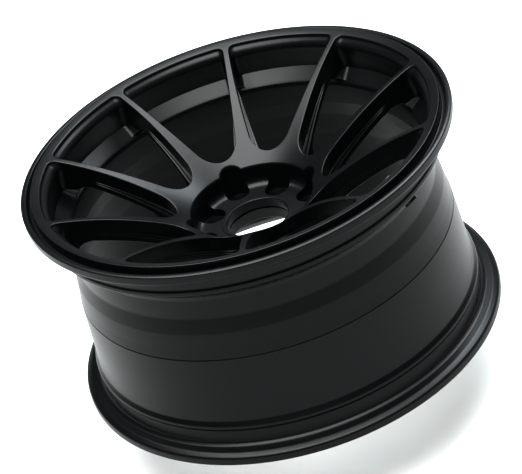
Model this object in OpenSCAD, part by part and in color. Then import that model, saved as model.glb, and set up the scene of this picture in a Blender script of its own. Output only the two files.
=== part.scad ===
// Ten-spoke forged racing wheel rim, 16 x 8 inch, zero offset, dual four-stud drilling.
// +Z is the wheel axis with the outboard face up. The rear flange stands on z = 0 and the
// axis passes through x = y = 0. One spoke points along +X. All lengths are millimetres.

/* [Rim] */
// Radius of both rim flanges (half the overall diameter)
flange_r = 220.1; // [200:0.1:240]
// Overall width across the two flanges
rim_w = 229.2; // [200:0.1:260]
// Height of the fine turned line where the front rim meets the inner barrel
seam_z = 111.4; // [105:0.1:116]

/* [Spokes] */
// Number of spokes
spoke_n = 10; // [10:1:10]
// Half width of a spoke where it is slimmest
spoke_w = 3.2; // [2.5:0.1:6]
// Extra half width gained towards the hub
spoke_grow = 3.6; // [2:0.1:6]
// Radius of the round bottom of each window
u_r = 23; // [20:0.5:23.5]
// Distance of that round's centre from the axis
u_c = 98.7; // [97:0.1:101]
// Radius of the round bottom behind the ledge
v_r = 17; // [16.5:0.5:17.5]
// Distance of that smaller round's centre from the axis
v_c = 97.4; // [97:0.1:97.8]
// Fillet where a spoke meets the face ring
root_r = 7; // [4:0.5:9]
// Depth of the ledge below the face at the hub end
ledge_in = 19; // [16:0.5:24]
// Depth of the ledge below the face at its sharp outer end
ledge_out = 16.5; // [10:0.5:20]
// Depth of a spoke from its face to its rear edge
web_depth = 25.2; // [24:0.1:28]

/* [Hub] */
// Outer radius of the hub, where the spokes start
hub_r = 76.4; // [74:0.1:78]
// Radius of the deep round recess around the studs
recess_r = 63; // [62.5:0.1:64]
// Height of the stud pad inside the recess
pad_z = 139.2; // [136:0.1:142]
// Height of the mounting face (half the rim width for zero offset)
mount_z = 114.6; // [110:0.1:120]
// Radius of the centre bore over its rear part
bore_r = 36.55; // [36:0.01:37]
// Radius of the front opening of the centre bore
lip_r = 32.3; // [30:0.1:33]
// Pitch circle radius of the four outer stud holes
pcd_a = 57.15; // [57.15:0.01:57.15]
// Pitch circle radius of the four inner stud holes
pcd_b = 50; // [50:0.01:50]
// Radius of each stud hole
stud_r = 7.25; // [6.5:0.05:7.5]
// Radius of the socket clearance pocket round each stud hole
socket_r = 12.5; // [12:0.1:13]
// Angle of the first outer stud hole
stud_a = 36; // [36:1:36]

/* [Spigot ring] */
// Inner radius of the ring that centres the wheel on the vehicle
spigot_r = 33.55; // [33.3:0.05:34]

/* [Tyre valve] */
// Angle of the valve round the rim
valve_a = 342; // [342:1:342]
// Radius of the valve hole
valve_hole = 5.65; // [5.5:0.05:5.8]
// Length of the stem beyond the seat
stem_len = 22; // [20:0.5:24]

/* [Hidden] */
// Middle of the valve seat on the inner slope, and how far the valve leans from the axis
seat_x = 189.75;
seat_z = 190.1;
lean = 42.6;
$fn = 96;

// Height of the dished outboard face at radius r
function dish(r) = rim_w - 68.2 + 0.619 * (r - 62.7) - (r - 62.7) * (r - 132) / 630;
// Height of the ledge on the spoke flanks at radius r
function ledge(r) = dish(r) - ledge_out - (ledge_in - ledge_out) * (170 - r) / 94;
// Half width of a spoke at radius r, measured square to its middle line
function half(r) = spoke_w + spoke_grow * pow(max(0, 190 - r) / 90, 2.2);
// Half width below the ledge
function low(r) = half(r) + 0.2 + 5.8 * max(0, 165 - r) / 75;

// Rear edge of the spokes, from the rim in: root fillet, even depth, step down, hub's rear edge
REAR = concat([[181.6, 190.4], [177.6, 193.2], [172, 194.6]],
              [for (r = [164 : -9 : 110]) [r, dish(r) - web_depth]],
              [[102.5, 161.8], [99.5, 156.5], [96.5, 147], [93.5, 137.5], [91, 135.2],
               [82.5, 135.2], [hub_r, 122.8]]);

// The wall that the spoke tips meet: window edge, convex bar, plain wall and well slope
TIP = [[199.2, 228.2], [198.4, 227.3], [196.4, 225.8], [194.6, 223.9], [193.4, 221.8],
       [193, 219.5], [195.5, 197], [195.3, 195.2], [184.2, 185]];

// A point at radius r and angle a
function pt(r, a) = [r * cos(a), r * sin(a)];
// One flank of a spoke lying along +X, from the hub out to the face ring, for a half width
// list given by kind 0 (above the ledge) or 1 (below it)
function width(r, kind) = kind == 0 ? half(r) : low(r);
function flank(kind) =
    let (c = kind == 0 ? u_c : v_c, q = kind == 0 ? u_r : v_r,
         mid = pt(c, 180 / spoke_n))
    concat(
        // round window bottom, from its lowest point to where it runs into the flank
        [for (i = [0 : 12]) let (b = 180 + 180 / spoke_n + i * 66 / 12)
            [mid[0] + q * cos(b), mid[1] + q * sin(b)]],
        // slim flank
        [for (i = [0 : 16]) let (r = c - 5 + (199.2 - root_r - c + 5) * i / 16) [r, width(r, kind)]],
        // fillet into the ring
        [for (i = [1 : 5]) let (b = -90 + i * 18)
            [199.2 - root_r + root_r * cos(b), width(190, kind) + root_r + root_r * sin(b)]],
        [[202, width(190, kind) + root_r + 1]]);
function mirror_list(p) = [for (i = [len(p) - 1 : -1 : 0]) [p[i][0], -p[i][1]]];

module outline(kind) {
    p = flank(kind);
    inner = pt(60, 180 / spoke_n);
    polygon(concat([inner], p, mirror_list(p), [[inner[0], -inner[1]]]));
}

// Side view of a whole ring of spokes, turned round the axis: dished top, even web, raked root
module web_zone() {
    rotate_extrude()
        polygon(concat(
            [for (i = [0 : 14]) let (r = hub_r + (199.2 - hub_r) * i / 14) [r, dish(r)]],
            TIP, REAR));
}
// The part of that zone which lies under the ledge
module ledge_zone() {
    rotate_extrude()
        polygon([for (r = [hub_r - 5, 90, 110, 130, 150, 166, 190, 210]) [r, ledge(r)],
                 [210, 100], [hub_r - 5, 100]]);
}

// One spoke of the forging: slim web above, wider flanged rib below
module spoke(k) {
    color([0.10, 0.11, 0.115])
    rotate([0, 0, 360 / spoke_n * k])
    intersection() {
        web_zone();
        union() {
            translate([0, 0, 100]) linear_extrude(height = 140) outline(0);
            intersection() {
                ledge_zone();
                translate([0, 0, 100]) linear_extrude(height = 140) outline(1);
            }
        }
    }
}

// Round socket pocket with its conical nut seat and stud hole
module stud_cut(r, a) {
    rotate([0, 0, a]) translate([r, 0, 0]) {
        translate([0, 0, 131]) cylinder(r = socket_r, h = 60, $fn = 64);
        translate([0, 0, 124.5]) cylinder(r1 = stud_r, r2 = 11, h = 6.51, $fn = 64);
        translate([0, 0, 110]) cylinder(r = stud_r, h = 20, $fn = 64);
    }
}

// Centre of the forging: stud pad, deep recess, conical face and mounting face
module hub() {
    color([0.10, 0.11, 0.115])
    difference() {
        rotate_extrude()
            polygon([[lip_r, 130], [lip_r, pad_z + 0.4], [lip_r + 0.6, pad_z + 1],
                [lip_r + 3.4, pad_z + 1], [lip_r + 4.4, pad_z],
                [recess_r - 9, pad_z], [recess_r - 5.5, pad_z + 0.8], [recess_r - 2.6, pad_z + 2.7],
                [recess_r - 0.7, pad_z + 5.6], [recess_r, pad_z + 9], [recess_r, dish(recess_r) - 1],
                [recess_r + 1, dish(recess_r + 1)], [hub_r, dish(hub_r)], [hub_r, 122.8],
                [72, mount_z + 1], [71, mount_z], [bore_r + 1.2, mount_z],
                [bore_r, mount_z + 1.2], [bore_r, 130]]);
        for (k = [0 : 3]) {
            stud_cut(pcd_a, stud_a + 90 * k);
            stud_cut(pcd_b, stud_a + 45 + 90 * k);
            // the inner pockets run out to the recess wall, with upright sides
            rotate([0, 0, stud_a + 45 + 90 * k])
                translate([pcd_b, -socket_r, 131]) cube([11.6, 2 * socket_r, 30]);
        }
    }
}

// Places its children on the valve's own axis: z = 0 on the seat, +z out of the rim
module valve_frame() {
    rotate([0, 0, valve_a]) translate([seat_x, 0, seat_z]) rotate([0, -lean, 0]) children();
}

// Front rim: face ring, flange lip, outboard bead seat and well, down to the turned line
module front_rim() {
    color([0.10, 0.11, 0.115])
    difference() {
        rotate_extrude()
            polygon(concat(
                [[199.2, dish(199.2)]], TIP,
                [[182.2, 182.6], [181.6, 180], [181.8, 157], [183.4, 150.5], [185.6, 146], [187, 139],
                 [189.2, 121], [191, seam_z], [194.8, seam_z], [195.2, seam_z + 0.4],
                 [193.5, 121], [191.4, 140], [190.2, 147], [188.3, 152], [186.9, 158], [186.5, 164],
                 [186.5, 176], [187, 179.4], [188.4, 181.8], [200.2, 191.3], [202.2, 193.2],
                 [203, 195.4], [202.8, 197.6], [201.5, 199.6], [202.7, 211.6], [203.6, 214.4],
                 [206.6, 216.2], [211.8, 216.8], [216.6, 218.2], [219.2, 220.4], [flange_r, 223.4],
                 [flange_r, 226.6], [219.2, 228.5], [217.2, rim_w], [215.6, rim_w], [214, 228.4],
                 [213.2, 226.8], [212.7, 224.4], [211.6, 223.2], [209.4, 223], [208.4, 224],
                 [208.4, dish(207.4) - 1], [207.4, dish(207.4)], [203, dish(203)]]));
        valve_frame() {
            translate([0, 0, -12]) cylinder(r = valve_hole, h = 20, $fn = 48);
            translate([0, 0, 0]) cylinder(r = 8.6, h = 12, $fn = 48);
            translate([0, 0, -16]) cylinder(r = 8.6, h = 16 - 4.2, $fn = 48);
        }
    }
}

// Inner barrel: long tube behind the turned line, inboard bead seat and rear flange
module inner_barrel() {
    color([0.10, 0.11, 0.115])
    rotate_extrude()
        polygon([[191, seam_z], [193.8, 66], [194.8, 40], [196.2, 20], [197.6, 13], [199.8, 8.4],
            [204.5, 2.8], [206.6, 0.9], [208.6, 0], [217.2, 0], [219.2, 0.8], [flange_r, 2.6],
            [flange_r, 6.4], [219.2, 9], [216.6, 11.2], [211.8, 12.6], [206.6, 13.2], [203.6, 15],
            [202.7, 17.6], [201.5, 29], [202.8, 31], [203, 33.2], [201.8, 35.6], [199.4, 38.4],
            [197.9, 66], [195.4, seam_z - 0.8], [194.8, seam_z]]);
}

// Ring that fills the rear bore and centres the wheel on the vehicle's hub
module spigot_ring() {
    color([0.16, 0.16, 0.17])
    rotate_extrude()
        polygon([[spigot_r + 1.4, mount_z], [spigot_r, mount_z + 1.4], [spigot_r, 126.6],
            [spigot_r + 0.4, 127], [bore_r - 0.6, 127], [bore_r - 0.05, 126.4],
            [bore_r - 0.05, mount_z + 1.3], [bore_r - 0.9, mount_z + 0.4], [bore_r - 0.9, mount_z]]);
}

// Turned metal valve stem with its sealing flange inside the tyre space
module valve_stem() {
    color([0.07, 0.07, 0.075])
    valve_frame() difference() {
        union() {
            translate([0, 0, -9.4]) cylinder(r = 7.2, h = 3, $fn = 48);
            translate([0, 0, -6.4]) cylinder(r = 4.6, h = 6.4, $fn = 48);
            cylinder(r = 4.6, h = 12, $fn = 48);
            translate([0, 0, 12]) cylinder(r1 = 4.6, r2 = 3.85, h = 1.2, $fn = 48);
            translate([0, 0, 13.2]) cylinder(r = 3.85, h = stem_len - 13.2, $fn = 48);
        }
        translate([0, 0, -10]) cylinder(r = 1.5, h = 40, $fn = 32);
        translate([0, 0, 7]) cylinder(r = 2.3, h = 30, $fn = 32);
    }
}

// Rubber grommet: a sleeve in the valve hole and a collar under the stem's flange
module valve_grommet() {
    color([0.03, 0.03, 0.03])
    valve_frame() difference() {
        union() {
            translate([0, 0, -6.4]) cylinder(r = 7.6, h = 2.2, $fn = 48);
            translate([0, 0, -4.2]) cylinder(r = 5.65, h = 4.2, $fn = 48);
        }
        translate([0, 0, -7]) cylinder(r = 4.6, h = 8, $fn = 48);
    }
}

module valve_washer() {
    color([0.07, 0.07, 0.075])
    valve_frame() difference() {
        cylinder(r = 8, h = 1.2, $fn = 48);
        translate([0, 0, -1]) cylinder(r = 4.7, h = 4, $fn = 48);
    }
}

module valve_nut() {
    color([0.07, 0.07, 0.075])
    valve_frame() difference() {
        intersection() {
            translate([0, 0, 1.2]) cylinder(r = 7.51, h = 5, $fn = 6);
            union() {
                translate([0, 0, 1.2]) cylinder(r1 = 6.9, r2 = 7.6, h = 0.7, $fn = 48);
                translate([0, 0, 1.9]) cylinder(r = 7.6, h = 3.6, $fn = 48);
                translate([0, 0, 5.5]) cylinder(r1 = 7.6, r2 = 6.9, h = 0.7, $fn = 48);
            }
        }
        translate([0, 0, 0]) cylinder(r = 4.6, h = 8, $fn = 48);
    }
}

// Screw-on cap, hollow, with grip flutes round its skirt
module valve_cap() {
    color([0.05, 0.05, 0.055])
    valve_frame() difference() {
        union() {
            translate([0, 0, 14]) cylinder(r = 5, h = 8.6, $fn = 64);
            translate([0, 0, 22.6]) cylinder(r1 = 5, r2 = 4, h = 1.6, $fn = 64);
        }
        translate([0, 0, 13]) cylinder(r = 3.9, h = 9.8, $fn = 48);
        for (i = [0 : 15]) rotate([0, 0, i * 22.5])
            translate([5.15, 0, 14.8]) cylinder(r = 0.45, h = 7, $fn = 24);
    }
}

// Soft disc inside the cap that lands on the stem's mouth
module cap_seal() {
    color([0.03, 0.03, 0.03])
    valve_frame() difference() {
        translate([0, 0, 22.05]) cylinder(r = 3.7, h = 0.6, $fn = 48);
        translate([0, 0, 21]) cylinder(r = 1.1, h = 3, $fn = 32);
    }
}

// Valve core housing, screwed into the stem's mouth
module core_body() {
    color([0.72, 0.58, 0.28])
    valve_frame() difference() {
        union() {
            translate([0, 0, 10]) cylinder(r = 2.0, h = 5, $fn = 32);
            translate([0, 0, 15]) cylinder(r = 2.3, h = 4.5, $fn = 32);
        }
        translate([0, 0, 10.6]) cylinder(r = 1.3, h = 7, $fn = 32);
        translate([0, 0, 9]) cylinder(r = 0.7, h = 4, $fn = 32);
        translate([0, 0, 17]) cylinder(r = 0.6, h = 4, $fn = 24);
    }
}

// Soft collar that seals the housing in the stem
module core_seal() {
    color([0.75, 0.12, 0.08])
    valve_frame() difference() {
        translate([0, 0, 11.6]) cylinder(r = 2.3, h = 1.6, $fn = 32);
        translate([0, 0, 11]) cylinder(r = 2.0, h = 3, $fn = 32);
    }
}

// Core pin: push tip at the mouth, stop collar, and the plug that shuts the housing
module core_pin() {
    color([0.72, 0.58, 0.28])
    valve_frame() {
        translate([0, 0, 9.3]) cylinder(r = 0.5, h = 12, $fn = 24);
        translate([0, 0, 8.6]) cylinder(r = 1.7, h = 1.3, $fn = 32);
        translate([0, 0, 15.9]) cylinder(r = 1.1, h = 0.6, $fn = 32);
    }
}

// Closing spring, wound round the pin inside the housing
module core_spring() {
    color([0.75, 0.76, 0.78])
    valve_frame()
        for (i = [0 : 71]) hull() {
            for (j = [i, i + 1]) rotate([0, 0, j * 30])
                translate([0.9, 0, 10.8 + j * 4.9 / 72]) sphere(r = 0.15, $fn = 6);
        }
}

hub();
spoke(0);  // spoke_01
spoke(1);  // spoke_02
spoke(2);  // spoke_03
spoke(3);  // spoke_04
spoke(4);  // spoke_05
spoke(5);  // spoke_06
spoke(6);  // spoke_07
spoke(7);  // spoke_08
spoke(8);  // spoke_09
spoke(9);  // spoke_10
front_rim();
inner_barrel();
spigot_ring();
valve_stem();
valve_grommet();
valve_washer();
valve_nut();
valve_cap();
cap_seal();
core_body();
core_seal();
core_pin();
core_spring();
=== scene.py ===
"""A ten-spoke forged racing wheel rim, satin black, lying face up.

Every size is in millimetres in the row frame, as in the CAD model, and becomes metres when a
piece is made. The forging's outside is rebuilt here with rounded edges; the valve and the
centring ring keep their CAD meshes.
"""
import math

import bmesh
import bpy
import numpy as np
from mathutils import Matrix, Vector
from mathutils.geometry import delaunay_2d_cdt


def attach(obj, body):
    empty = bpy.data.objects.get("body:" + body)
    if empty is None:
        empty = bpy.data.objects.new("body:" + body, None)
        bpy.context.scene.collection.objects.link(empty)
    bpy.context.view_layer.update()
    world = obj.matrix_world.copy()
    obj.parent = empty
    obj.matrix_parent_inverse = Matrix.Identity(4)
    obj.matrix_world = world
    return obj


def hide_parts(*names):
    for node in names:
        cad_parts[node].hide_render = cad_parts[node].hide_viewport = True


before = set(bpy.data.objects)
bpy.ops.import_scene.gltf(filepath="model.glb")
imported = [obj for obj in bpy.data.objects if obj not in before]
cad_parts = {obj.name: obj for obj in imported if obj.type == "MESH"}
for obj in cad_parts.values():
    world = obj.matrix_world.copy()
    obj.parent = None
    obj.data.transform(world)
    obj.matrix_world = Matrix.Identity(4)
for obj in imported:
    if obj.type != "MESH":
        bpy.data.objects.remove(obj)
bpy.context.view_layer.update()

# ---------------------------------------------------------------- sizes, as in the CAD model
MM = 0.001
FLANGE_R, RIM_W, SEAM_Z = 220.1, 229.2, 111.4
SPOKES, HALF_STEP = 10, 18.0
SPOKE_W, SPOKE_GROW = 3.2, 3.6
U_C, U_Q = 98.7, 23.0            # round window bottom at the face: centre distance and radius
V_C, V_Q = 97.4, 17.0            # the same below the ledge
ROOT_R = 7.0                     # fillet where a spoke meets the ring
HUB_CUT, RIM_CUT = 97.0, 172.0   # where the hub, spoke and rim pieces meet, along a spoke
RECESS_R, PAD_Z, MOUNT_Z, FLOOR_Z = 63.0, 139.2, 114.6, 131.0
LIP_R, BORE_R = 32.3, 36.55
STUD_R, SEAT_R, SOCKET_R = 7.25, 11.0, 12.5
PCD_OUT, PCD_IN, STUD_A = 57.15, 50.0, 36.0
EDGE = 1.3                       # rounding along every window edge
RIM_EDGE = 1.4                   # rounding along the recess rim
WEB_TOP = 203.0                  # a circle on the face ring, between windows and groove
RING_OUT = 207.4                 # where the flat of the face ring ends
WEB_DEPTH = 25.2                 # depth of a spoke, from its face to its rear edge
SECTOR = 360 / SPOKES            # degrees from one spoke to the next
REAR_RIM_R, REAR_FACE_R = 72.6, 71.2   # hub's rear: foot of its slope, edge of its face
PAD_IN = 36.7                    # where the stud pad meets the collar of the bore
PAD_FILLET = 9.0                 # fillet between the stud pad and the recess wall
FILLET_TOP = PAD_Z + PAD_FILLET


def dish(r):
    """Height of the dished face at radius r."""
    return RIM_W - 68.2 + 0.619 * (r - 62.7) - (r - 62.7) * (r - 132) / 630


# the rear side as (radius, height): out of the hub's slope and step, and into the rim
HUB_REAR = ((REAR_RIM_R, 115.8), (76.4, 122.8), (82.5, 135.2), (91.0, 135.2), (93.5, 137.5),
            (96.5, 147.0), (99.5, 156.5), (102.5, 161.8), (110.0, dish(110) - WEB_DEPTH))
ROOT_REAR = ((164.0, dish(164) - WEB_DEPTH), (172.0, 194.6), (177.6, 193.2), (181.6, 190.4),
             (184.2, 185.0))


def back(r):
    """Height of the rear edge at radius r: hub, step, spokes of even depth, root fillet."""
    if 110 < r < 164:
        return dish(r) - WEB_DEPTH
    line = HUB_REAR if r <= 110 else ROOT_REAR
    return float(np.interp(r, [p[0] for p in line], [p[1] for p in line]))


def half(x):
    """Half width of a spoke above the ledge, at distance x from the axle."""
    return SPOKE_W + SPOKE_GROW * (max(0.0, 190 - x) / 90) ** 2.2


def ledge_width(x):
    """How far the ledge stands out of the spoke's flank."""
    return 5.9 * max(0.0, 165 - x) / 75


def polar(r, a):
    return (r * math.cos(math.radians(a)), r * math.sin(math.radians(a)))


def mix(a, b, t):
    return a + (b - a) * t


def ease(t):
    t = min(1.0, max(0.0, t))
    return t * t * (3 - 2 * t)


# ---------------------------------------------------------------- rows down a window's wall
class Row:
    """One line round a window, from the face down to the rear edge.

    inset is how far it lies inside the metal, lam how much of the ledge it takes in, level(r)
    its height on the spoke and hub, and ring_r, ring_z its place on the rim's inner wall.
    """

    def __init__(self, inset, lam, level, ring_r, ring_z):
        self.inset, self.lam, self.level = inset, lam, level
        self.ring_r, self.ring_z = ring_r, ring_z

    def width(self, x):
        return half(x) + self.lam * ledge_width(x) - self.inset

    def height(self, x, y):
        """Height beyond the rim cut: the spoke's own, going over to that of the inner wall."""
        r = math.hypot(x, y)
        if self.ring_z is None:
            return self.level(r)
        t = ease((r - RIM_CUT) / (self.ring_r - RIM_CUT - 3))
        return mix(self.level(r), self.ring_z, t)


def wall_rows():
    rows = []
    for k in range(6):
        a = math.radians(18 * k)
        inset, drop = EDGE * (1 - math.sin(a)), EDGE * (1 - math.cos(a))
        rows.append(Row(inset, 0, lambda r, d=drop: dish(r) - d, 199.2 + inset, None))
    below = [(3.0, 2.6, 0, 199.1, 228.3), (5, 3.6, 0, 198.4, 227.2), (8, 5, 0, 196.5, 225.8),
             (11, 6.6, 0, 194.7, 223.9), (14, 8.2, 0, 193.5, 221.8), (15.4, 12.0, 0, 193.0, 219.5),
             (16.9, 14.7, 0, 193.3, 217.0), (17.2, 14.9, 0.05, 193.4, 216.2),
             (17.6, 15.1, 0.47, 193.5, 215.4), (18.0, 15.4, 0.51, 193.6, 214.6),
             (19.6, 16.5, 0.53, 194.1, 209.5), (19.9, 16.7, 0.57, 194.2, 208.6),
             (20.3, 16.9, 0.95, 194.3, 207.8), (20.9, 17.3, 1.0, 194.4, 207.0),
             (22.4, 19.6, 1.0, 194.9, 203.0)]
    for hub_d, rim_d, lam, ring_r, ring_z in below:
        rows.append(Row(0, lam, lambda r, a=hub_d, b=rim_d: dish(r) - mix(a, b, (r - 80) / 110),
                        ring_r, ring_z))
    rows.append(Row(0, 1, lambda r: back(r) + 1.4, 195.5, 197.0))
    rows.append(Row(0, 1, lambda r: back(r) + 0.9, 195.3, 195.2))
    rows.append(Row(0.35, 1, lambda r: back(r) + 0.35, 195.0, 194.9))
    rows.append(Row(1.2, 1, back, 184.2, None))
    return rows


ROWS = wall_rows()
U_STEPS, FLANK_HUB, FLANK_RIM, CORNER, ARC, UNDER = 18, 3, 5, 8, 16, 4


def round_bottom(row):
    """Points of one row from a window's lowest point to the hub cut, for the spoke along +X."""
    q = mix(U_Q, V_Q, row.lam) + row.inset
    cx, cy = polar(mix(U_C, V_C, row.lam), HALF_STEP)
    points = []
    for k in range(U_STEPS + 1):
        b = math.radians(180 + HALF_STEP + 65 * k / U_STEPS)
        points.append((cx + q * math.cos(b), cy + q * math.sin(b)))
    # run the last of the round into the flank without a kink
    x_end = points[-1][0]
    gap = points[-1][1] - row.width(x_end)
    points = [(x, y - gap * ease((k - U_STEPS / 2) / (U_STEPS / 2)))
              for k, (x, y) in enumerate(points)]
    for k in range(1, FLANK_HUB + 1):
        x = mix(x_end, HUB_CUT, k / FLANK_HUB)
        points.append((x, row.width(x)))
    return [(x, y, row.level(math.hypot(x, y))) for x, y in points]


def rim_corner(row):
    """Points of one row from the rim cut, round the root fillet, to the window's middle."""
    rho, r_out = ROOT_R + row.inset, row.ring_r
    x_c = 190.0
    for _ in range(4):
        y_c = row.width(x_c) + rho
        x_c = math.sqrt((r_out - rho) ** 2 - y_c ** 2)
    turn = math.degrees(math.atan2(y_c, x_c))
    points = []
    for k in range(FLANK_RIM + 1):
        x = mix(RIM_CUT, x_c, k / FLANK_RIM)
        points.append((x, row.width(x)))
    for k in range(1, CORNER + 1):
        px, py = polar(rho, mix(-90, turn, k / CORNER))
        points.append((x_c + px, y_c + py))
    for k in range(1, ARC + 1):
        points.append(polar(r_out, mix(turn, HALF_STEP, k / ARC)))
    return [(x, y, row.height(x, y)) for x, y in points], turn


# ---------------------------------------------------------------- building a piece
class Skin:
    """Collects points and faces of one closed piece, then welds them."""

    def __init__(self):
        self.points, self.faces = [], []

    def grid(self, rows, closed=False):
        base, n = len(self.points), len(rows[0])
        for row in rows:
            self.points += row
        for i in range(len(rows) - 1):
            for j in range(n if closed else n - 1):
                a, b = base + i * n + j, base + i * n + (j + 1) % n
                self.faces.append((a, b, b + n, a + n))

    def face(self, points):
        base = len(self.points)
        self.points += points
        self.faces.append(tuple(range(base, base + len(points))))

    def plate(self, loops, extra, height):
        """A sheet over the plan area inside an odd number of loops, at height(r)."""
        flat, edges = [], []
        for loop in loops:
            base = len(flat)
            flat += [Vector(p[:2]) for p in loop]
            edges += [(base + i, base + (i + 1) % len(loop)) for i in range(len(loop))]
        flat += [Vector(p[:2]) for p in extra]
        out, _, faces, *_ = delaunay_2d_cdt(flat, edges, [], 0, 1e-4)
        xy = np.array([tuple(p) for p in out])
        tri = np.array([f for f in faces if len(f) == 3])
        mid = xy[tri].mean(1)
        inside = np.zeros(len(tri), bool)
        for loop in loops:
            a = np.array([p[:2] for p in loop])
            b = np.roll(a, -1, 0)
            for (x0, y0), (x1, y1) in zip(a, b):
                if y0 != y1:
                    cross = ((y0 > mid[:, 1]) != (y1 > mid[:, 1])) & (
                        mid[:, 0] < (x1 - x0) * (mid[:, 1] - y0) / (y1 - y0) + x0)
                    inside ^= cross
        base = len(self.points)
        self.points += [(x, y, height(math.hypot(x, y))) for x, y in xy]
        self.faces += [tuple(base + int(i) for i in t) for t in tri[inside]]

    def all_round(self, part, mirrored=True):
        """Adds the faces that part(skin) makes for one spoke, mirrored and turned round."""
        one = Skin()
        part(one)
        for k in range(SPOKES):
            a = 2 * math.pi * k / SPOKES
            c, s = math.cos(a), math.sin(a)
            for sign in ((1, -1) if mirrored else (1,)):
                base = len(self.points)
                self.points += [(c * x - s * sign * y, s * x + c * sign * y, z)
                                for x, y, z in one.points]
                self.faces += [tuple(base + i for i in f) for f in one.faces]

    def make(self, name):
        mesh = bpy.data.meshes.new(name)
        bm = bmesh.new()
        verts = [bm.verts.new((x * MM, y * MM, z * MM)) for x, y, z in self.points]
        for f in self.faces:
            if len(set(f)) == len(f):
                try:
                    bm.faces.new([verts[i] for i in f])
                except ValueError:
                    pass
        bmesh.ops.remove_doubles(bm, verts=bm.verts, dist=0.00002)
        bmesh.ops.dissolve_degenerate(bm, edges=bm.edges, dist=0.00001)
        loose = [v for v in bm.verts if not v.link_faces]
        bmesh.ops.delete(bm, geom=loose, context="VERTS")
        bmesh.ops.recalc_face_normals(bm, faces=bm.faces)
        bm.to_mesh(mesh)
        open_edges = sum(1 for e in bm.edges if len(e.link_faces) != 2)
        bm.free()
        print(f"{name}: {len(mesh.polygons)} faces, {open_edges} open edges")
        mesh.shade_smooth()
        mesh.set_sharp_from_angle(angle=math.radians(38))
        piece = bpy.data.objects.new(name, mesh)
        bpy.context.scene.collection.objects.link(piece)
        smooth = piece.modifiers.new("even_shading", "WEIGHTED_NORMAL")
        smooth.keep_sharp = True
        smooth.weight = 60
        return piece


def turned(angles, r, z):
    return [polar(r, a) + (z,) for a in angles]


def rounded(profile):
    """Turns (r, z, fillet) corners into a smooth list of (r, z) points."""
    out = []
    for i, (x, y, rad) in enumerate(profile):
        if rad <= 0 or i in (0, len(profile) - 1):
            out.append((x, y))
            continue
        p = np.array((x, y))
        a, b = np.array(profile[i - 1][:2]) - p, np.array(profile[i + 1][:2]) - p
        la, lb = np.linalg.norm(a), np.linalg.norm(b)
        a, b = a / la, b / lb
        angle = math.acos(max(-1, min(1, float(a @ b))))
        cut = min(rad / math.tan(angle / 2), 0.48 * la, 0.48 * lb)
        p0, p1 = p + a * cut, p + b * cut
        steps = max(2, int((math.pi - angle) / math.radians(14)))
        for k in range(steps + 1):
            t = k / steps
            q = (1 - t) ** 2 * p0 + 2 * t * (1 - t) * p + t * t * p1
            out.append((float(q[0]), float(q[1])))
    return out


def section(x):
    """Closed cross-section of a spoke at distance x, as points of the row frame."""
    side = [(x, row.width(x), row.level(math.hypot(x, row.width(x)))) for row in ROWS]
    other = [(a, -b, c) for a, b, c in reversed(side)]
    return [(x, 0, dish(x))] + side + [(x, 0, back(x))] + other


# ---------------------------------------------------------------- the forging's pieces
def make_spoke(k):
    skin = Skin()
    stations = [section(mix(HUB_CUT, RIM_CUT, i / 30)) for i in range(31)]
    skin.grid(stations, closed=True)
    skin.face(stations[0])
    skin.face(stations[-1][::-1])
    a = 2 * math.pi * k / SPOKES
    c, s = math.cos(a), math.sin(a)
    skin.points = [(c * x - s * y, s * x + c * y, z) for x, y, z in skin.points]
    return skin.make(f"spoke_{k + 1:02d}_forged")


def joined_loop(half_line):
    """A closed loop round the wheel from one half-sector line, mirrored and turned."""
    loop = []
    for k in range(SPOKES):
        a = 2 * math.pi * k / SPOKES
        c, s = math.cos(a), math.sin(a)
        line = [(x, -y) for x, y, *_ in reversed(half_line)] + [p[:2] for p in half_line]
        loop += [(c * x - s * y, s * x + c * y) for x, y in line[:-1]]
    return loop


def circle(r, n, start=0.0):
    return [polar(r, start + 360 * k / n) for k in range(n)]


def recess_arcs(inset):
    """The recess rim as 8 stretches a quarter: lobe, pad, pocket, pad, each a list of points."""
    r0, rl = RECESS_R + inset, SOCKET_R + inset
    lobe_half = math.degrees(math.acos((r0 ** 2 + PCD_OUT ** 2 - rl ** 2) / (2 * r0 * PCD_OUT)))
    pocket_half = math.degrees(math.asin(SOCKET_R / RECESS_R))
    # angle at the socket's own centre where the lobe leaves the recess
    px, py = polar(r0, lobe_half)
    own = math.degrees(math.atan2(py, px - PCD_OUT))
    out = []
    for q in range(4):
        a0 = STUD_A + 90 * q
        lobe = []
        for i in range(19):
            b = mix(-own, own, i / 18)
            x, y = polar(rl, b)
            lobe.append(rotate((PCD_OUT + x, y), a0))
        out.append(("lobe", lobe))
        lo, hi = a0 + lobe_half, a0 + 45 - pocket_half
        out.append(("pad", [polar(r0, mix(lo, hi, i / 14)) for i in range(15)]))
        out.append(("pocket", [polar(r0, mix(hi, hi + 2 * pocket_half, i / 14))
                               for i in range(15)]))
        lo, hi = a0 + 45 + pocket_half, a0 + 90 - lobe_half
        out.append(("pad", [polar(r0, mix(lo, hi, i / 14)) for i in range(15)]))
    return out


def rotate(p, a):
    c, s = math.cos(math.radians(a)), math.sin(math.radians(a))
    return (c * p[0] - s * p[1], s * p[0] + c * p[1])


def pad_height(r):
    """Height of the stud pad: flat, then a fillet up to the recess wall."""
    if r <= RECESS_R - PAD_FILLET:
        return PAD_Z
    t = min(1.0, (r - (RECESS_R - PAD_FILLET)) / PAD_FILLET)
    return PAD_Z + PAD_FILLET - PAD_FILLET * math.sqrt(max(0.0, 1 - t * t))


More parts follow.
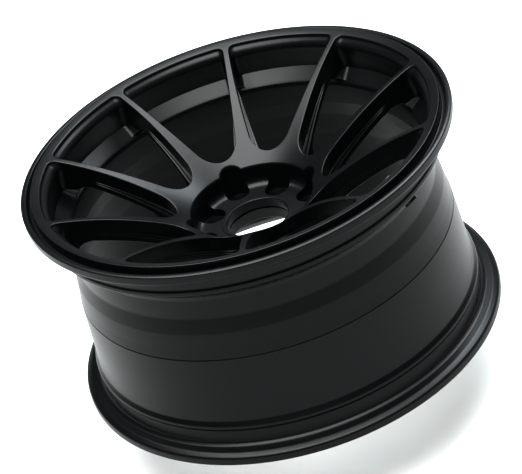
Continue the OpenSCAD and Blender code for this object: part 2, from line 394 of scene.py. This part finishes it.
def make_hub():
    skin = Skin()
    front, rear = round_bottom(ROWS[0])[::-1], round_bottom(ROWS[-1])[::-1]

    def walls(one):
        one.grid([round_bottom(row) for row in ROWS])

    def cut(one):
        side = [round_bottom(row)[-1] for row in ROWS]
        one.face(side + [(x, -y, z) for x, y, z in reversed(side)])

    skin.all_round(walls)
    skin.all_round(cut, mirrored=False)

    # conical face between the window bottoms and the recess rim
    arcs = {i: recess_arcs(RIM_EDGE * (1 - math.sin(math.radians(18 * i)))) for i in range(6)}
    rim_top = [p for _, arc in arcs[0] for p in arc[:-1]]
    extra = [p for r in (67.5, 71, 74, 78, 82, 86, 90, 94) for p in circle(r, 180, 0.7)
             if inside_face(p)]
    skin.plate([joined_loop(front), rim_top], extra, dish)
    skin.plate([joined_loop(rear), circle(REAR_RIM_R, 160)],
               [p for r in (76.4, 79.5, 82.5, 86.5, 91, 93.5) for p in circle(r, 180, 0.7)
                if inside_back(p)], back)

    # rounded recess rim, then the wall: down to the fillet at the pads, to the floor elsewhere
    for n, (kind, arc) in enumerate(arcs[5]):
        rows = []
        for i in range(6):
            drop = RIM_EDGE * (1 - math.cos(math.radians(18 * i)))
            rows.append([(x, y, dish(math.hypot(x, y)) - drop) for x, y in arcs[i][n][1]])
        rows.append([(x, y, FILLET_TOP) for x, y in arc])
        if kind != "pad":
            rows.append([(x, y, FLOOR_Z) for x, y in arc])
        skin.grid(rows)

    # pocket outlines on the pad side, as seen from each socket's centre
    pad_loop, stud_axes = [], []
    fine = [54, 56, 57.5, 58.8, 60, 61, 61.6]
    for n, (kind, arc) in enumerate(arcs[5]):
        q = STUD_A + 90 * (n // 4)
        if kind == "pad":
            pad_loop += arc[:-1]
        elif kind == "lobe":
            x0, y0 = rotate(arc[0], -q)
            own = math.degrees(math.atan2(y0, x0 - PCD_OUT)) % 360
            inner = [rotate((PCD_OUT + polar(SOCKET_R, mix(own, 360 - own, i / 36))[0],
                             polar(SOCKET_R, mix(own, 360 - own, i / 36))[1]), q)
                     for i in range(37)]
            add_pocket(skin, inner, arc, rotate((PCD_OUT, 0), q))
            pad_loop += inner[:-1]
        else:
            q += 45
            side = [math.sqrt(r * r - SOCKET_R ** 2) for r in fine]
            inner = [rotate(p, q) for p in
                     [(math.sqrt(RECESS_R ** 2 - SOCKET_R ** 2), -SOCKET_R)]
                     + [(x, -SOCKET_R) for x in reversed(side)]
                     + [(PCD_IN + polar(SOCKET_R, 270 - 180 * i / 24)[0],
                         polar(SOCKET_R, 270 - 180 * i / 24)[1]) for i in range(25)]
                     + [(x, SOCKET_R) for x in side]
                     + [(math.sqrt(RECESS_R ** 2 - SOCKET_R ** 2), SOCKET_R)]]
            add_pocket(skin, inner, arc, rotate((PCD_IN, 0), q))
            pad_loop += inner[:-1]
        if kind in ("lobe", "pocket"):
            stud_axes.append((PCD_OUT, q) if kind == "lobe" else (PCD_IN, q))
    extra = [p for r in (39, 42, 46, 50, 54, 56, 57.5, 58.8, 60, 61, 61.7, 62.2, 62.6, 62.85)
             for p in circle(r, 180, 0.4) if on_pad(p)]
    skin.plate([pad_loop, circle(PAD_IN, 160)], extra, pad_height)

    # bore, collar, mounting face and the stud holes
    angles = [360 * k / 160 for k in range(161)]
    bore = rounded([(PAD_IN, PAD_Z, 0), (36.2, PAD_Z + 1, 0.4), (32.9, PAD_Z + 1, 0.5),
                    (LIP_R, PAD_Z + 0.4, 0.4), (LIP_R, 130, 0), (BORE_R, 130, 0),
                    (BORE_R, MOUNT_Z + 1.2, 0.3), (BORE_R + 1.2, MOUNT_Z, 0)])
    skin.grid([turned(angles, r, z) for r, z in bore])
    skin.grid([turned(angles, r, z) for r, z in
               rounded([(REAR_RIM_R, 115.8, 0), (71.9, 115.0, 0.3), (REAR_FACE_R, MOUNT_Z, 0)])])
    holes = []
    for radius, a in stud_axes:
        cx, cy = rotate((radius, 0), a)
        ring = [360 * k / 48 for k in range(49)]
        skin.grid([[(cx + polar(r, b)[0], cy + polar(r, b)[1], z) for b in ring]
                   for r, z in ((SEAT_R, FLOOR_Z), (10.6, FLOOR_Z - 0.5), (STUD_R + 0.3, 125.1),
                                (STUD_R, 124.5), (STUD_R, MOUNT_Z + 0.5),
                                (STUD_R + 0.5, MOUNT_Z))])
        holes.append([(cx + polar(STUD_R + 0.5, b)[0], cy + polar(STUD_R + 0.5, b)[1])
                      for b in ring[:-1]])
    skin.plate([circle(REAR_FACE_R, 160), circle(BORE_R + 1.2, 160)] + holes, [],
               lambda r: MOUNT_Z)
    return skin.make("hub_forged")


def add_pocket(skin, inner, outer, centre):
    """Upright wall round a socket pocket, and its flat floor with the nut seat left open."""
    rows = [[(x, y, pad_height(math.hypot(x, y))) for x, y in inner],
            [(x, y, FLOOR_Z) for x, y in inner]]
    skin.grid(rows)
    seat = [(centre[0] + polar(SEAT_R, 360 * k / 48)[0],
             centre[1] + polar(SEAT_R, 360 * k / 48)[1]) for k in range(48)]
    loop = list(inner[:-1]) + list(reversed(outer))[:-1]
    skin.plate([loop, seat], [], lambda r: FLOOR_Z)


def inside_face(p, margin=1.9):
    """True where a plan point lies on the hub's face, clear of its edges."""
    r, a = math.hypot(*p), math.degrees(math.atan2(p[1], p[0]))
    turn = (a + HALF_STEP) % SECTOR - HALF_STEP
    x, y = polar(r, abs(turn))
    cx, cy = polar(U_C, HALF_STEP)
    if math.hypot(x - cx, y - cy) < U_Q + EDGE + 0.8:
        return False
    if x > 88 and y > half(x) - margin:
        return False
    if x > HUB_CUT - 1:
        return False
    lobe = ((a - STUD_A + 45) % 90) - 45
    lx, ly = polar(r, lobe)
    return math.hypot(lx - PCD_OUT, ly) > SOCKET_R + RIM_EDGE + 0.6 and r > RECESS_R + 2.2


def inside_back(p):
    """True where a plan point lies on the hub's rear side, clear of its edges."""
    r, a = math.hypot(*p), math.degrees(math.atan2(p[1], p[0]))
    x, y = polar(r, abs((a + HALF_STEP) % SECTOR - HALF_STEP))
    cx, cy = polar(V_C, HALF_STEP)
    if math.hypot(x - cx, y - cy) < V_Q + 2.5 or x > HUB_CUT - 1.5:
        return False
    return x < 88 or y < half(x) + ledge_width(x) - 2.5


def on_pad(p):
    """True where a plan point lies on the pad, clear of the pockets."""
    r, a = math.hypot(*p), math.degrees(math.atan2(p[1], p[0]))
    for first, pcd, slot in ((STUD_A, PCD_OUT, False), (STUD_A + 45, PCD_IN, True)):
        t = ((a - first + 45) % 90) - 45
        x, y = polar(r, t)
        if math.hypot(x - pcd, y) < SOCKET_R + 0.5:
            return False
        if slot and x > pcd and abs(y) < SOCKET_R + 0.5:
            return False
    return True


def lathe_angles():
    """Angles round the rim that match the bottom row's arcs, so the rim's parts weld."""
    _, turn = rim_corner(ROWS[-1])
    part = [turn * k / UNDER for k in range(UNDER)] + \
           [mix(turn, HALF_STEP, k / ARC) for k in range(ARC + 1)]
    sector = [-a for a in reversed(part[1:])] + part
    return [a + SECTOR * k for k in range(SPOKES) for a in sector[:-1]] + [360 - HALF_STEP]


WELL_IN = [(184.2, 185.0, 0), (182.2, 183.0, 2), (181.6, 179, 3), (181.8, 158, 6), (184.2, 149, 8),
           (187, 139, 12), (189.2, 121, 5), (191, SEAM_Z, 0)]
RIM_OUT = [(194.9, SEAM_Z, 0), (195.2, SEAM_Z + 0.35, 0.15), (193.6, 122, 5), (191.5, 139, 14),
           (187.0, 155, 12), (186.5, 176, 5), (188.2, 181.6, 3), (200.2, 190.9, 4),
           (203.1, 194.2, 2.4), (202.9, 197.8, 1.8), (201.4, 200.0, 2.5), (202.8, 213.6, 3.5),
           (206.6, 216.2, 4), (214, 216.9, 5), (220.1, 219.4, 4.0), (220.1, 228.6, 2.4),
           (217.4, 229.2, 1.4), (214.4, 229.2, 1.8), (212.8, 222.9, 1.6), (208.9, 222.9, 1.2),
           (208.5, dish(RING_OUT) - 0.3, 1.2), (RING_OUT, dish(RING_OUT), 0)]
BARREL = [(191, SEAM_Z, 0), (193.8, 66, 60), (195.2, 30, 20), (197.6, 12, 12), (204.9, 2.6, 5),
          (208.4, 0.0, 1.8), (217.6, 0, 1.6), (220.1, 1.4, 2.4),
          (220.1, 9.4, 4.0), (214, 12.4, 5), (206.6, 13.2, 4), (202.8, 15.6, 3.5),
          (201.4, 29.4, 2.5), (203.1, 31.6, 1.8), (202.9, 35.0, 2.4), (199.6, 39.2, 4),
          (197.9, 66, 40), (195.5, SEAM_Z - 0.8, 0.2), (194.9, SEAM_Z, 0)]


def make_front_rim():
    skin = Skin()
    lines = [rim_corner(row)[0] for row in ROWS]

    def walls(one):
        one.grid(lines)

    def cut(one):
        side = [line[0] for line in lines]
        one.face(side + [(x, -y, z) for x, y, z in reversed(side)])

    skin.all_round(walls)
    skin.all_round(cut, mirrored=False)
    angles = lathe_angles()
    front = joined_loop(lines[0])
    outer = [polar(RING_OUT, a) for a in angles[:-1]]
    skin.plate([front, outer], circle(WEB_TOP, 360, 0.3), dish)

    # rear end of each spoke, up to the rim's well
    turn = rim_corner(ROWS[-1])[1]
    steps = FLANK_RIM + CORNER + 1
    for k in range(SPOKES):
        side = [p[:2] for p in lines[-1][:steps]]
        under = [polar(ROWS[-1].ring_r, turn * (UNDER - i) / UNDER) for i in range(1, 2 * UNDER)]
        loop = side + under + [(x, -y) for x, y in reversed(side)]
        skin.plate([[rotate(p, SECTOR * k) for p in loop]], [], back)
    inner, outer_side = rounded(WELL_IN), rounded(RIM_OUT)
    skin.grid([turned(angles, r, z) for r, z in inner + outer_side])
    return skin.make("front_rim_forged")


def make_barrel():
    skin = Skin()
    angles = lathe_angles()
    skin.grid([turned(angles, r, z) for r, z in rounded(BARREL) + [(191, SEAM_Z)]])
    return skin.make("inner_barrel_forged")


# ---------------------------------------------------------------- materials
def new_material(name):
    m = bpy.data.materials.new(name)
    m.use_nodes = True
    nodes = m.node_tree.nodes
    return m, nodes, m.node_tree.links, nodes["Principled BSDF"]


def add(nodes, kind, **inputs):
    n = nodes.new(kind)
    for key, value in inputs.items():
        n.inputs[key].default_value = value
    return n


def ramp(nodes, links, source, stops):
    r = nodes.new("ShaderNodeValToRGB")
    r.color_ramp.elements[0].position, r.color_ramp.elements[0].color = stops[0]
    r.color_ramp.elements[1].position, r.color_ramp.elements[1].color = stops[1]
    links.new(source, r.inputs["Fac"])
    return r


def satin_black():
    """Satin black coating: fine orange peel, slight cloudiness in gloss and tone."""
    m, nodes, links, shader = new_material("satin_black_coating")
    where = nodes.new("ShaderNodeTexCoord").outputs["Object"]
    cloud = add(nodes, "ShaderNodeTexNoise", Scale=14.0, Detail=4.0, Roughness=0.55)
    peel = add(nodes, "ShaderNodeTexNoise", Scale=1100.0, Detail=2.0, Roughness=0.5)
    grit = add(nodes, "ShaderNodeTexNoise", Scale=4200.0, Detail=1.0, Roughness=0.5)
    for t in (cloud, peel, grit):
        links.new(where, t.inputs["Vector"])
    tone = ramp(nodes, links, cloud.outputs["Fac"],
                ((0.3, (0.0018, 0.0022, 0.0024, 1)), (0.7, (0.0026, 0.0031, 0.0034, 1))))
    links.new(tone.outputs["Color"], shader.inputs["Base Color"])
    gloss = nodes.new("ShaderNodeMapRange")
    links.new(cloud.outputs["Fac"], gloss.inputs["Value"])
    gloss.inputs["To Min"].default_value = 0.29
    gloss.inputs["To Max"].default_value = 0.36
    links.new(gloss.outputs["Result"], shader.inputs["Roughness"])
    skin = nodes.new("ShaderNodeMath")
    skin.operation = "MULTIPLY_ADD"
    links.new(grit.outputs["Fac"], skin.inputs[0])
    skin.inputs[1].default_value = 0.35
    links.new(peel.outputs["Fac"], skin.inputs[2])
    bump = add(nodes, "ShaderNodeBump", Strength=0.10, Distance=0.0003)
    links.new(skin.outputs["Value"], bump.inputs["Height"])
    links.new(bump.outputs["Normal"], shader.inputs["Normal"])
    shader.inputs["Specular IOR Level"].default_value = 0.18
    shader.inputs["IOR"].default_value = 1.5
    return m


def simple(name, color, rough, metallic=0.0):
    """A plain finish whose tone and gloss vary slightly on a fine grain."""
    m, nodes, links, shader = new_material(name)
    where = nodes.new("ShaderNodeTexCoord").outputs["Object"]
    noise = add(nodes, "ShaderNodeTexNoise", Scale=900.0, Detail=3.0, Roughness=0.55)
    links.new(where, noise.inputs["Vector"])
    dark = tuple(c * 0.85 for c in color) + (1,)
    light = tuple(min(1, c * 1.12) for c in color) + (1,)
    tone = ramp(nodes, links, noise.outputs["Fac"], ((0.35, dark), (0.65, light)))
    links.new(tone.outputs["Color"], shader.inputs["Base Color"])
    gloss = nodes.new("ShaderNodeMapRange")
    links.new(noise.outputs["Fac"], gloss.inputs["Value"])
    gloss.inputs["To Min"].default_value = rough - 0.05
    gloss.inputs["To Max"].default_value = rough + 0.06
    links.new(gloss.outputs["Result"], shader.inputs["Roughness"])
    bump = add(nodes, "ShaderNodeBump", Strength=0.08, Distance=0.0002)
    links.new(noise.outputs["Fac"], bump.inputs["Height"])
    links.new(bump.outputs["Normal"], shader.inputs["Normal"])
    shader.inputs["Metallic"].default_value = metallic
    return m


# ---------------------------------------------------------------- make the object
black = satin_black()


def forged(piece, *nodes):
    piece.data.materials.append(black)
    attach(piece, "rim")
    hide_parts(*nodes)


forged(make_hub(), "hub")
for number in range(SPOKES):
    forged(make_spoke(number), f"spoke_{number + 1:02d}")
forged(make_front_rim(), "front_rim")
forged(make_barrel(), "inner_barrel")

finishes = {
    "spigot_ring": simple("spigot_plastic", (0.008, 0.008, 0.009), 0.55),
    "valve_metal": simple("valve_metal", (0.01, 0.01, 0.011), 0.42, 0.2),
    "cap": simple("cap_plastic", (0.008, 0.008, 0.009), 0.5),
    "rubber": simple("seal_rubber", (0.015, 0.015, 0.015), 0.75),
    "brass": simple("core_brass", (0.72, 0.56, 0.26), 0.25, 1.0),
    "spring": simple("spring_steel", (0.6, 0.61, 0.63), 0.25, 1.0),
}
KEPT = {"spigot_ring": "spigot_ring", "valve_stem": "valve_metal", "valve_washer": "valve_metal",
        "valve_nut": "valve_metal", "valve_grommet": "rubber", "cap_seal": "rubber",
        "core_seal": "rubber", "valve_cap": "cap", "core_body": "brass", "core_pin": "brass",
        "core_spring": "spring"}
for node, finish in KEPT.items():
    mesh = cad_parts[node].data
    mesh.materials.clear()
    mesh.materials.append(finishes[finish])

# ---------------------------------------------------------------- floor, light, camera
STUDIO_FLOOR_Z = -0.08           # metres: the rim hangs clear of it, so its bore shows white


def make_floor():
    bpy.ops.mesh.primitive_plane_add(size=60, location=(0, 0, STUDIO_FLOOR_Z))
    floor = bpy.context.object
    floor.name = "floor"
    m, _, _, shader = new_material("floor_pale")
    shader.inputs["Base Color"].default_value = (0.44, 0.44, 0.44, 1)
    shader.inputs["Roughness"].default_value = 0.9
    shader.inputs["Specular IOR Level"].default_value = 0.0
    floor.data.materials.append(m)


def area_light(name, place, target, size, power, color):
    data = bpy.data.lights.new(name, "AREA")
    data.shape = "RECTANGLE"
    data.size, data.size_y = size
    data.energy, data.color = power, color
    lamp = bpy.data.objects.new(name, data)
    lamp.location = place
    lamp.rotation_euler = (Vector(target) - Vector(place)).to_track_quat("-Z", "Y").to_euler()
    bpy.context.scene.collection.objects.link(lamp)


def make_light():
    """Dim room with a bright horizon, a wide even ceiling, and two softboxes overhead."""
    world = bpy.data.worlds.new("studio")
    bpy.context.scene.world = world
    world.use_nodes = True
    nodes, links = world.node_tree.nodes, world.node_tree.links
    where = nodes.new("ShaderNodeTexCoord").outputs["Generated"]
    split = nodes.new("ShaderNodeSeparateXYZ")
    links.new(where, split.inputs["Vector"])
    tones = ramp(nodes, links, split.outputs["Z"], ((0.0, (0.85, 0.85, 0.85, 1)),
                                                    (0.28, (0.09, 0.09, 0.095, 1))))
    links.new(tones.outputs["Color"], nodes["Background"].inputs["Color"])
    area_light("softbox_far", (0.7, 1.7, 2.2), (0, 0, 0.2), (1.6, 1.1), 125, (0.90, 0.97, 1.0))
    area_light("softbox_top", (-0.4, -0.1, 2.9), (-0.2, 0, 0.2), (3.4, 2.4), 270, (0.95, 1.0, 0.99))
    ceiling = bpy.data.lights.new("ceiling", "SUN")
    ceiling.energy, ceiling.angle = 6.5, math.radians(60)
    bpy.context.scene.collection.objects.link(bpy.data.objects.new("ceiling", ceiling))


def make_camera():
    """Placed in flange radii from the middle of the front flange's plane."""
    right = Vector((0.93210, 0.24783, -0.26415)).normalized()
    up = Vector((0.07215, 0.58762, 0.80591))
    back_way = right.cross(up).normalized()
    up = back_way.cross(right)
    place = Vector((3.9989, -8.7061, 5.4687)) * FLANGE_R * MM + Vector((0, 0, RIM_W * MM))
    data = bpy.data.cameras.new("camera")
    data.sensor_fit, data.sensor_width, data.lens = "HORIZONTAL", 36.0, 169.78
    data.clip_end = 100
    cam = bpy.data.objects.new("camera", data)
    turn = Matrix((right, up, back_way)).transposed().to_4x4()
    cam.matrix_world = Matrix.Translation(place) @ turn
    bpy.context.scene.collection.objects.link(cam)
    bpy.context.scene.camera = cam


make_floor()
make_light()
make_camera()
bpy.context.scene.view_settings.view_transform = "Standard"
bpy.context.scene.view_settings.gamma = 0.80      # deepens the blacks, as in the photo
